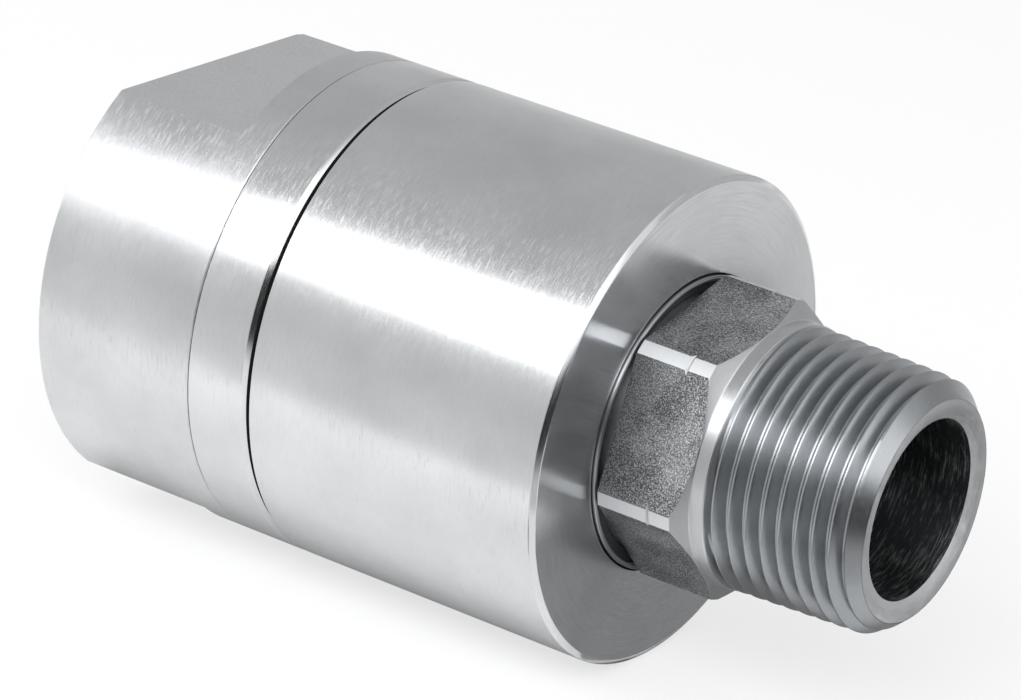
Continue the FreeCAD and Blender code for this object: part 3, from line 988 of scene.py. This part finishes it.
    def build(self) -> bpy.types.Object:
        """Make the rotor's mesh.

        Returns:
            The rotor, in place of its solid.
        """
        s = self.sizes
        half = math.degrees(math.acos(self.hex_flat_r / self.hex_corner_r))
        grid = AxisGrid([90 + self.hex_turn + 60 * side + way * half for side in range(6) for way in (-1, 1)])
        throat = self.end - self.dish_depth
        grid.row(throat, self.throat_r, self.Zone.BORE)
        grid.row(throat - self.throat_length, self.throat_r, self.Zone.BORE)
        grid.row(throat - 2 * self.throat_length, s.flow_r, self.Zone.BORE)
        grid.row(self.tail, s.flow_r, self.Zone.TURNED)
        shaft = rounded([
            (self.tail, self.tail_r - self.tail_bevel),
            (self.tail + self.tail_bevel, self.tail_r),
            (self.tail_front, self.tail_r),
            (self.tail_front, self.journal_r),
            (self.groove_start, self.journal_r),
            (self.groove_start, self.groove_r),
            (s.bearing_start, self.groove_r),
            (s.bearing_start, self.journal_r),
            (self.shoulder_start, self.journal_r),
            (self.shoulder_start, self.shoulder_r),
            (s.shield_floor, self.shoulder_r),
            (s.shield_floor, self.collar_r),
            (self.hex_rear, self.collar_r),
        ], s.edge_break, closed=False)
        grid.outline(shaft, self.Zone.TURNED)
        self.add_hexagon(grid)
        self.add_thread(grid)
        grid.row(self.end, self.bevel_start_r - self.bevel_depth - self.end_break, self.Zone.END)
        for step in range(self.dish_steps):
            share = step / self.dish_steps
            radius = self.dish_r + (self.throat_r - self.dish_r) * share
            grid.row(self.end - self.dish_depth * share ** 2, radius, self.Zone.END)
        made = grid.build("rotor_turned", [
            Finishes.ROTOR, Finishes.HEXAGON, Finishes.THREAD, Finishes.END, Finishes.BORE,
            Finishes.CORNER, Finishes.CHAMFER])
        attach(made, Body.ROTOR.value)
        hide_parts("rotor")
        return made


@dataclass
class RunningGear:
    """The hidden pieces that keep their solids: bearings, spacers, rings, seal pack and O-rings."""

    pieces: dict[str, Finish] = field(default_factory=lambda: {
        "cap_o_ring": Finishes.O_RING,
        "seal_energiser": Finishes.O_RING,
        "preload_spring": Finishes.SPRING,
        "rotor_retaining_ring": Finishes.SPRING,
        "seal_retaining_ring": Finishes.SPRING,
        "inner_spacer": Finishes.SPACER,
        "outer_spacer": Finishes.SPACER,
        "pressure_seal": Finishes.SEAL,
        "seal_backup_ring": Finishes.BACKUP,
        "tail_guide_bush": Finishes.BUSH,
    })
    bearing_parts: dict[str, Finish] = field(default_factory=lambda: {
        "inner_race": Finishes.RACE,
        "outer_race": Finishes.RACE,
        "cage": Finishes.CAGE,
        "balls": Finishes.BALL,
    })

    def dress(self) -> None:
        """Give each solid its finish."""
        bearings = {f"{side}_bearing_{part}": finish for side in ("front", "rear")
                    for part, finish in self.bearing_parts.items()}
        for node, finish in (self.pieces | bearings).items():
            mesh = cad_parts[node].data
            mesh.materials.clear()
            mesh.materials.append(finish.material())
            LOG.info("dressed %s in %s", node, finish.name)


@dataclass(frozen=True)
class StudioCard:
    """A plain card that only reflections show, with a level that may fade across it."""

    name: str
    centre: Place
    size: Point
    level: float
    far_level: float | None = None
    facing: Place = UP

    def paint(self) -> bpy.types.Material:
        """Return the card's own light, which fades from its level to its far level."""
        paint = bpy.data.materials.new(self.name)
        tree = cleared_tree(paint)
        glow = add_node(tree, "Emission", {"Color": WHITE, "Strength": self.level})
        if self.far_level is not None:
            parts = add_node(tree, "SeparateXYZ", links={0: object_millimetres(tree)})
            half = self.size[1] / 2
            ends = span("From", (-half, half)) | span("To", (self.level, self.far_level))
            fade = add_node(tree, "MapRange", ends | {"interpolation_type": "SMOOTHSTEP"},
                            {"Value": parts.outputs["Y"]})
            feed(glow, {"Strength": fade})
        add_node(tree, "OutputMaterial", links={"Surface": glow})
        return paint

    def build(self) -> bpy.types.Object:
        """Make the card, facing the given direction.

        Returns:
            The card, hidden from camera, diffuse, shadow and transmission rays.
        """
        corners = [Vector((x * self.size[0] / 2, y * self.size[1] / 2, 0)) * MM
                   for x, y in ((-1, -1), (1, -1), (1, 1), (-1, 1))]
        mesh = bpy.data.meshes.new(self.name)
        mesh.from_pydata(corners, [], [(0, 1, 2, 3)])
        mesh.materials.append(self.paint())
        card = link_object(self.name, mesh)
        card.location = Vector(self.centre) * MM
        card.rotation_mode = "QUATERNION"
        card.rotation_quaternion = Vector(self.facing).to_track_quat("Z", "Y")
        card.visible_camera = False
        card.visible_diffuse = False
        card.visible_shadow = False
        card.visible_transmission = False
        return card


@dataclass(frozen=True)
class SoftBox:
    """A soft box that lights the scene. Reflections show its card instead."""

    name: str
    centre: Place
    aim: Place
    size: Point
    power: float

    def build(self) -> bpy.types.Object:
        """Make the lamp, facing the point that it aims at.

        Returns:
            The lamp.
        """
        lamp = bpy.data.lights.new(self.name, "AREA")
        lamp.shape = "RECTANGLE"
        lamp.size, lamp.size_y = self.size[0] * MM, self.size[1] * MM
        lamp.energy = self.power
        box = link_object(self.name, lamp)
        box.location = Vector(self.centre) * MM
        box.rotation_mode = "QUATERNION"
        box.rotation_quaternion = (Vector(self.aim) - Vector(self.centre)).to_track_quat("-Z", "Y")
        box.visible_glossy = False
        return box


@dataclass
class Studio:
    """The pale floor, the white world, the soft box and the cards."""

    floor_reach: float = 3000.0
    floor_sides: int = 96
    floor_gap: float = 0.2
    floor_colour: str = "#F4F4F4"
    seen_white: float = 0.7
    mirrored_white: float = 0.12
    sky_light: float = 0.65
    key: SoftBox = SoftBox("key_box", (60.0, -449.0, 398.0), (40.0, 0.0, 0.0), (1200.0, 260.0), 5.2)
    cards: tuple[StudioCard, ...] = (
        StudioCard("ceiling_card", (-310, 120, 700), (1900, 1500), 0.55, facing=DOWN),
        StudioCard("back_card", (40, 900, 410), (2600, 700), 0.58, facing=(0.0, -1.0, 0.0)),
        StudioCard("front_card", (-465, -900, 290), (1590, 620), 0.74, facing=(0.0, 1.0, 0.0)),
        StudioCard("front_floor_card", (-600, -489, -24.7), (1320, 832), 0.8),
        StudioCard("near_front_card", (-600, -49.5, -24.7), (1320, 47), 1.1, 1.35),
        # Card fading between dark and bright: painted shadow of the object on the floor where it lies, as the
        # metal mirrors it
        StudioCard("contact_shadow_card", (28.5, -14.5, -24.8), (61, 23), 0.1, 1.08),
        # Dark card under the object: painted shadow on the floor, as the metal mirrors it
        StudioCard("under_shadow_card", (28.5, 4.5, -24.8), (61, 15), 0.22),
        StudioCard("near_shadow_card", (74, 25, -24.9), (29, 70), 0.3),
        StudioCard("near_right_card", (80, -162, -24.8), (40, 295), 1.1),
        StudioCard("corner_shadow_card", (79, -39, -24.6), (16, 15), 0.15),
        StudioCard("mid_right_card", (117.5, -162, -24.8), (35, 295), 0.7),
        StudioCard("far_right_card", (147.5, -162, -24.8), (25, 295), 0.3),
        StudioCard("right_shadow_card", (550, 50, -24.8), (920, 60), 0.05),
        StudioCard("right_floor_card", (680, -440, -24.9), (1040, 920), 0.03),
        StudioCard("far_floor_card", (330, 400, -24.8), (560, 620), 0.85),
        StudioCard("right_low_card", (1000, 50, 15), (1500, 110), 0.03, facing=(-1.0, 0.0, 0.0)),
        StudioCard("right_front_card", (709, -373, 103), (375, 258), 0.02, facing=(-0.88, 0.47, 0.0)),
        StudioCard("camera_side_card", (450, -665, 190), (600, 430), 0.02, facing=(-0.52, 0.85, 0.0)),
        StudioCard("right_high_card", (1000, -180, 570), (1000, 860), 1.7, facing=(-1.0, 0.0, 0.0)),
        StudioCard("high_right_card", (500, -300, 690), (300, 260), 3.5, facing=DOWN),
        StudioCard("key_card", (60, -449, 398), (1200, 272), 4.2, facing=(-0.03, 0.75, -0.66)),
    )

    def share_of_white(self, tree: bpy.types.NodeTree, seen: float, mirrored: float,
                       other: float) -> bpy.types.Node:
        """Return a share that depends on whether the surface is seen, mirrored or only lights others.

        Args:
            tree: The node tree.
            seen: The share for camera rays.
            mirrored: The share for glossy and transmission rays.
            other: The share for all other rays.

        Returns:
            The node that gives the share.
        """
        path = add_node(tree, "LightPath")
        clear = add_node(tree, "Math", {"operation": "MAXIMUM"},
                         {0: path.outputs["Is Glossy Ray"], 1: path.outputs["Is Transmission Ray"]})
        bounced = add_node(tree, "MapRange", span("To", (other, mirrored)), {"Value": clear})
        return add_node(tree, "Mix", {"data_type": "FLOAT", "B": seen},
                        {"Factor": path.outputs["Is Camera Ray"], "A": bounced})

    def world(self) -> None:
        """Make the world white where it is seen or mirrored, and a softer light elsewhere."""
        world = bpy.data.worlds.new("white_studio")
        bpy.context.scene.world = world
        tree = cleared_tree(world)
        sky = add_node(tree, "Background", {"Color": WHITE},
                       {"Strength": self.share_of_white(tree, 1.0, 1.0, self.sky_light)})
        add_node(tree, "OutputWorld", links={"Surface": sky})

    def floor(self) -> None:
        """Make a round pale floor that shows nearly white and keeps the object's shadow."""
        work = bmesh.new()
        bmesh.ops.create_circle(work, cap_ends=True, segments=self.floor_sides, radius=self.floor_reach * MM)
        mesh = bpy.data.meshes.new("pale_floor")
        work.to_mesh(mesh)
        work.free()
        paint = bpy.data.materials.new("pale_floor")
        tree = cleared_tree(paint)
        matt = add_node(tree, "BsdfDiffuse", {"Color": linear(self.floor_colour), "Roughness": 0.0})
        glow = add_node(tree, "Emission", {"Color": WHITE, "Strength": 1.0})
        both = add_node(tree, "MixShader",
                        links={0: self.share_of_white(tree, self.seen_white, self.mirrored_white, 0.0),
                               1: matt, 2: glow})
        add_node(tree, "OutputMaterial", links={"Surface": both})
        mesh.materials.append(paint)
        floor = link_object("pale_floor", mesh)
        floor.location = (0.0, 0.0, CAD_BOX[0].z - self.floor_gap * MM)

    def build(self) -> None:
        """Set the view transform and make the studio."""
        bpy.context.scene.view_settings.view_transform = "Standard"
        self.world()
        self.floor()
        for card in self.cards:
            card.build()
            LOG.info("studio card %s", card.name)
        self.key.build()


@dataclass
class PhotoCamera:
    """The camera at the photograph's angle."""

    place: Place = (293.228, -399.233, 186.172)
    azimuth: float = 32.510
    elevation: float = 21.356
    roll: float = 6.942
    focal_length: float = 180.84
    sensor: float = 36.0
    # The nearest and farthest places that it shows, in metres
    clip: Point = (0.01, 50.0)

    def build(self) -> bpy.types.Object:
        """Make the camera and set it as the scene's.

        Returns:
            The camera.
        """
        turn, rise = math.radians(self.azimuth), math.radians(self.elevation)
        back = Vector((math.sin(turn) * math.cos(rise), -math.cos(turn) * math.cos(rise), math.sin(rise)))
        level_right = (-back).cross(Vector((0, 0, 1))).normalized()
        level_up = back.cross(level_right)
        tilt = math.radians(self.roll)
        right = level_right * math.cos(tilt) + level_up * math.sin(tilt)
        up = level_up * math.cos(tilt) - level_right * math.sin(tilt)
        data = bpy.data.cameras.new("photo_camera")
        data.lens = self.focal_length
        data.sensor_width = self.sensor
        data.sensor_fit = "HORIZONTAL"
        data.clip_start, data.clip_end = self.clip
        camera = link_object("photo_camera", data)
        turned = Matrix((right, up, back)).transposed().to_4x4()
        camera.matrix_world = Matrix.Translation(Vector(self.place) * MM) @ turned
        bpy.context.scene.camera = camera
        return camera


def main() -> None:
    """Build the union's pieces in order, then the camera and the studio."""
    logging.basicConfig(level=logging.INFO, format="%(name)s: %(message)s")
    sizes = Sizes()
    for piece in (PortCap(sizes), LockRing(sizes), Housing(sizes), DustShield(sizes), Rotor(sizes)):
        made = piece.build()
        for item in made if isinstance(made, list) else [made]:
            LOG.info("built %s with %d faces", item.name, len(item.data.polygons))
    RunningGear().dress()
    PhotoCamera().build()
    Studio().build()


if __name__ == "__main__":
    main()
